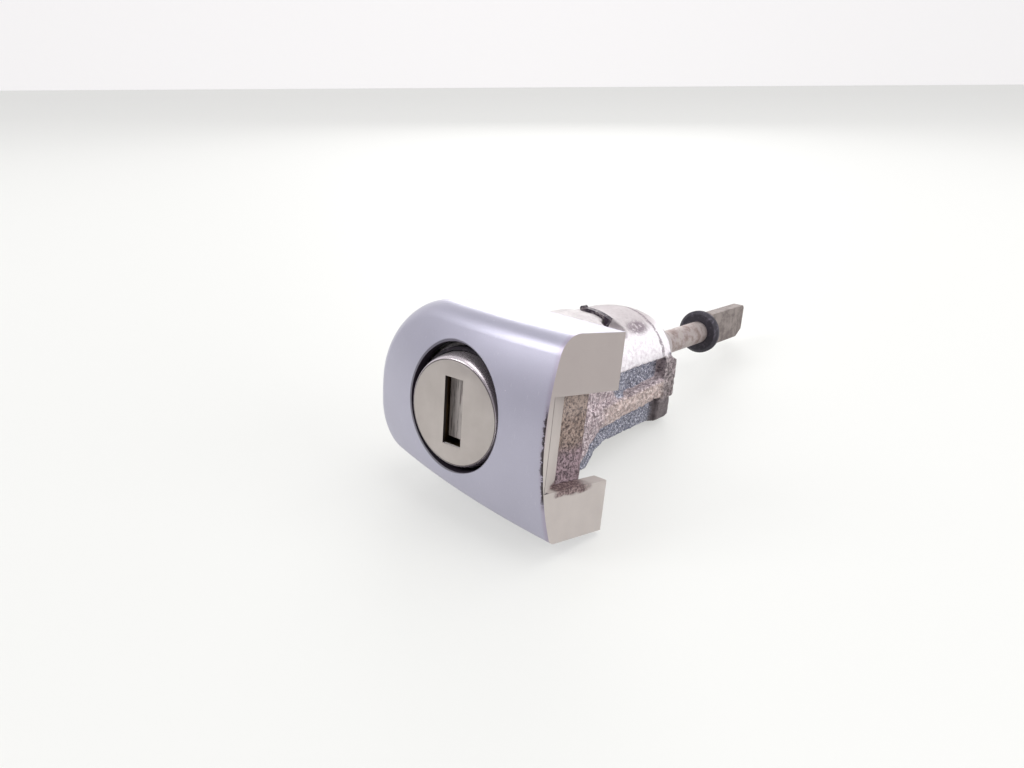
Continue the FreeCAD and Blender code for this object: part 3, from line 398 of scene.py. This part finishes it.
skin_tone = zinc.mix(zinc.ramp(grit, 0.42, 0.6), tone(184, 164, 168), tone(242, 228, 232))
skin_tone = zinc.mix(holes * 0.6, skin_tone, tone(118, 98, 112))
body = zinc.mix(low, body, skin_tone)
# Painted light: the rib low on the side is a lighter copy of the skin's tones, its pits kept dark.
lit_rib = zinc.within(up - back * 0.03, -6.8, -3.5, 0.3) * zinc.ramp(back, 23, 28)
lit_pitted_rib_tone = zinc.mix(zinc.ramp(grit, 0.42, 0.6), tone(216, 192, 182), tone(246, 230, 224))
lit_pitted_rib_tone = zinc.mix(holes * 0.4, lit_pitted_rib_tone, tone(92, 72, 70))
body = zinc.mix(lit_rib * 0.8, body, lit_pitted_rib_tone)
in_channel = zinc.within(right, 6.2, 7.5, 0.15) * zinc.ramp(back, 17.5, 18.5)
on_shelf = zinc.within(right, 7.9, 8.65, 0.1) * zinc.ramp(back + up * 0.8, 27.5, 28.5)
on_shelf = on_shelf * zinc.within(up, -2.4, 2.4, 0.2)
slated = (in_channel + on_shelf) * sideways * (1 - zinc.ramp(up, 2.3, 2.6))
slate = zinc.mix(crust, tone(88, 92, 110), tone(150, 152, 168))
slate = zinc.mix(specks, slate, tone(228, 226, 240))
body = zinc.mix(slated, body, slate)
# Painted shade: the casting just behind the cap, below its top, is darkened to brown, its pits near black.
shadowed = (1 - zinc.ramp(back + up * 0.1 + drift, 14.5, 18.0)) * (1 - zinc.ramp(up, 5, 8))
pitted_shade_brown = zinc.mix(zinc.ramp(up + drift, -3.5, -1.0), tone(162, 138, 146), tone(166, 144, 130))
pitted_shade_brown = zinc.mix(specks * 0.55 + holes * 0.4, pitted_shade_brown, tone(46, 32, 38))
body = zinc.mix(shadowed * 0.9, body, pitted_shade_brown)
lug = zinc.ramp(back + drift * 0.3, 43.6, 45.0) * (1 - zinc.ramp(up + drift * 0.3, 1.6, 2.6))
lug_tone = zinc.mix(zinc.ramp(crust, 0.4, 0.6), tone(122, 110, 112), tone(196, 182, 184))
lug_tone = zinc.mix(holes * 0.75, lug_tone, tone(54, 44, 50))
foot_tone = zinc.mix(crust, tone(84, 76, 78), tone(138, 128, 130))
lug_tone = zinc.mix(1 - zinc.ramp(up, -7.0, -5.0), lug_tone, foot_tone)
body = zinc.mix(lug * 0.9, body, lug_tone)
blot = zinc.node("ShaderNodeVectorMath", {"operation": "DISTANCE"},
                 {0: zinc.node("ShaderNodeVectorMath", {"operation": "MULTIPLY"}, {0: zinc.place, 1: (1, 0.45, 1)}),
                  1: BLOT_MIDDLE * MM}, output="Value")
blot = 1 - zinc.ramp(blot + (crust - 0.5) * 3 * MM, 0.9 * MM, 1.9 * MM)
seam = zinc.within(back + (crust - 0.5) * 2.5, 42.5, 43.7, 0.3) * zinc.ramp(up, 1.8, 3.2)
body = zinc.mix((blot + seam) * zinc.ramp(crust, 0.38, 0.52) * 0.8, body, tone(112, 94, 106))
uneven = 0.2 + low * 0.8
zinc.set(
    Base_Color=body,
    Roughness=0.72 - crust * 0.15,
    Normal=zinc.bump((1 - holes) * uneven * 0.6 + specks * uneven * 0.15 + grit * uneven * 0.25, 0.3),
)
rough_casting.data.materials.clear()
rough_casting.data.materials.append(zinc.material)
dress("housing", zinc)
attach(rough_casting, "casting")
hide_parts("housing")


# Plug face. Drawn from nickel-plated sheet, satin on its flat and polished on its shoulder, which the
# drawing die left long and soft. The shoulder's lighter colour is a painted highlight, and the dark line
# along its foot a painted reflection; in the key slot the left wall is painted shade and the sill a
# painted highlight.

FLAT_R = 7.5
FACE_ROLL = 0.75
INNER_R = 7.75
SHOULDER_LONG = 3.2
drawn = bmesh.new()
drawn.from_mesh(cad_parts["plug_face"].data)
bmesh.ops.remove_doubles(drawn, verts=drawn.verts, dist=MERGE_WITHIN * MM)
for vertex in drawn.verts:
    off_axis = math.hypot(vertex.co.x, vertex.co.z) / MM
    inside = off_axis < INNER_R + 0.01 and vertex.co.y > 0.4 * MM
    if off_axis > FLAT_R + 0.001 and vertex.co.y < (FACE_ROLL + 0.001) * MM and not inside:
        vertex.co.y *= SHOULDER_LONG / FACE_ROLL
drawn.normal_update()
for face in drawn.faces:
    face.smooth = True
for edge in drawn.edges:
    edge.smooth = edge.calc_face_angle(0) < math.radians(35)
drawn_face = bpy.data.objects.new("drawn_plug_face", bpy.data.meshes.new("drawn_plug_face"))
drawn.to_mesh(drawn_face.data)
drawn.free()
bpy.context.collection.objects.link(drawn_face)

nickel = Finish("satin_nickel")
haze = nickel.noise(4, detail=4)
rub = nickel.noise(0.35, detail=3, stretch=(1, 1, 0.08))
across_face = nickel.node("ShaderNodeVectorMath", {"operation": "MULTIPLY"},
                          {0: nickel.place, 1: (1 / MM, 0, 1 / MM)})
radius = nickel.node("ShaderNodeVectorMath", {"operation": "LENGTH"}, {0: across_face}, output="Value")
shoulder = nickel.ramp(radius, FLAT_R, FLAT_R + 0.1)
# Painted reflection: a thin dark ring where the flat meets the shoulder.
crease_reflection = nickel.within(radius, FLAT_R - 0.05, FLAT_R + 0.1, 0.05)
# Painted highlight: the key slot's upward-facing sill is bright and less metallic.
sill_highlight = nickel.ramp(nickel.along((0, 0, 1), nickel.facing()), 0.5, 0.8) * (1 - shoulder)
# Painted shade: the key slot's left wall, facing right, is near black.
left_wall_shade = nickel.ramp(nickel.along((1, 0, 0), nickel.facing()), 0.3, 0.6) * (1 - shoulder)
plate = nickel.mix(haze, tone(172, 164, 160), tone(204, 197, 193))
# Painted highlight: the polished shoulder is given a lighter colour.
plate = nickel.mix(shoulder, plate, tone(226, 216, 222))
plate = nickel.mix(crease_reflection * 0.8, plate, tone(52, 42, 50))
plate = nickel.mix(sill_highlight * 0.8, plate, tone(240, 236, 234))
plate = nickel.mix(left_wall_shade * 0.9, plate, tone(34, 28, 30))
nickel.set(
    Base_Color=plate,
    Metallic=1 - sill_highlight * 0.7 - shoulder * 0.25,
    Roughness=0.36 + haze * 0.1 + rub * 0.06 - shoulder * 0.16,
    Normal=nickel.bump(rub * (1 - shoulder), 0.004),
)
drawn_face.data.materials.append(nickel.material)
dress("plug_face", nickel)
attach(drawn_face, "plug")
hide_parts("plug_face")


# Dust shutter. A thin spring-steel flap behind the slot, scratched by years of keys.

flap = Finish("scratched_shutter", Metallic=0.4)
key_marks = flap.noise(0.3, detail=4, roughness=0.6, stretch=(1, 1, 0.06))
smear = flap.noise(1.2, detail=5, roughness=0.7)
flap_tone = flap.mix(smear, tone(184, 176, 172), tone(222, 215, 211))
flap_tone = flap.mix(flap.ramp(key_marks, 0.52, 0.6) * 0.75, flap_tone, tone(96, 84, 84))
flap.set(
    Base_Color=flap_tone,
    Roughness=0.42 + key_marks * 0.2,
    Normal=flap.bump(key_marks, 0.03),
)
dress("shutter", flap)


# Plug and wafers. Turned and stamped brass, dull with old grease in dark patches.

brass = Finish("greasy_brass", Metallic=1.0)
grease = brass.noise(2, detail=4)
brass.set(
    Base_Color=brass.mix(grease, tone(52, 42, 36), tone(132, 108, 72)),
    Roughness=0.4 + grease * 0.15,
)
for node in ["plug"] + ["wafer_%d" % number for number in range(1, 9)]:
    dress(node, brass)


# Face seal. A black rubber ring on the casting's nose, seen in the gap round the plug face.

rubber = Finish("seal_rubber")
dust = rubber.noise(0.8, detail=4)
rubber.set(
    Base_Color=rubber.mix(rubber.ramp(dust, 0.5, 0.75), tone(36, 30, 40), tone(66, 58, 66)),
    Roughness=0.75 + dust * 0.15,
)
dress("face_seal", rubber)


# Pins, driver and inner springs. Zinc-plated steel, grey and dull.

steel = Finish("plated_steel", Metallic=0.9)
spots = steel.noise(1.5, detail=5, roughness=0.6)
steel.set(
    Base_Color=steel.mix(spots, tone(128, 124, 120), tone(172, 168, 164)),
    Roughness=0.4 + spots * 0.2,
)
for node in ("shutter_pin", "shutter_spring", "wafer_springs", "driver", "driver_pin", "stop_pin"):
    dress(node, steel)


# Cap clip, circlip and return spring. Blued spring steel; the clip's strip has worn bright in places.

spring_steel = Finish("blued_spring_steel", Metallic=0.8)
wear = spring_steel.noise(0.9, detail=5, roughness=0.65)
spring_steel.set(
    Base_Color=spring_steel.mix(spring_steel.ramp(wear, 0.48, 0.7), tone(58, 50, 60), tone(150, 142, 144)),
    Roughness=0.4 + wear * 0.15,
)
for node in ("circlip", "return_spring", "cap_clip"):
    dress(node, spring_steel)


# Rear cover. A pressed cone of plated sheet that closes the casting round the tail, stained like it.

cover = Finish("stained_cover", Metallic=0.7)
bloom = cover.noise(2, detail=5, roughness=0.65)
cover.set(
    Base_Color=cover.mix(bloom, tone(148, 138, 138), tone(200, 192, 194)),
    Roughness=0.5 + bloom * 0.15,
    Normal=cover.bump(bloom, 0.05),
)
dress("rear_cover", cover)


# Tail. A steel rod flattened to a blade, grey brown with thin rust.

tail = Finish("worn_tail_steel", Metallic=0.75)
rust = tail.noise(2.2, detail=6, roughness=0.7)
streak = tail.noise(0.6, detail=4, stretch=(1, 0.12, 1))
to_blade = tail.ramp(tail.along((0, 1 / MM, 0)), 76, 80)
shaft_tone = tail.mix(tail.ramp(rust, 0.4, 0.65), tone(176, 166, 164), tone(138, 120, 116))
blade_tone = tail.mix(tail.ramp(rust, 0.4, 0.65), tone(146, 136, 132), tone(112, 102, 100))
tail.set(
    Base_Color=tail.mix(to_blade, shaft_tone, blade_tone),
    Roughness=0.42 + rust * 0.2 + streak * 0.05,
    Normal=tail.bump(rust * 0.6 + streak * 0.4, 0.05),
)
dress("tail_shaft", tail)


# Disc. A black plastic collar pushed on the tail, scuffed grey in patches.

collar = Finish("black_plastic")
scuff = collar.noise(0.7, detail=5, roughness=0.65)
collar.set(
    Base_Color=collar.mix(collar.ramp(scuff, 0.5, 0.7), tone(44, 40, 50), tone(84, 78, 90)),
    Roughness=0.45 + scuff * 0.2,
)
dress("tail_disc", collar)
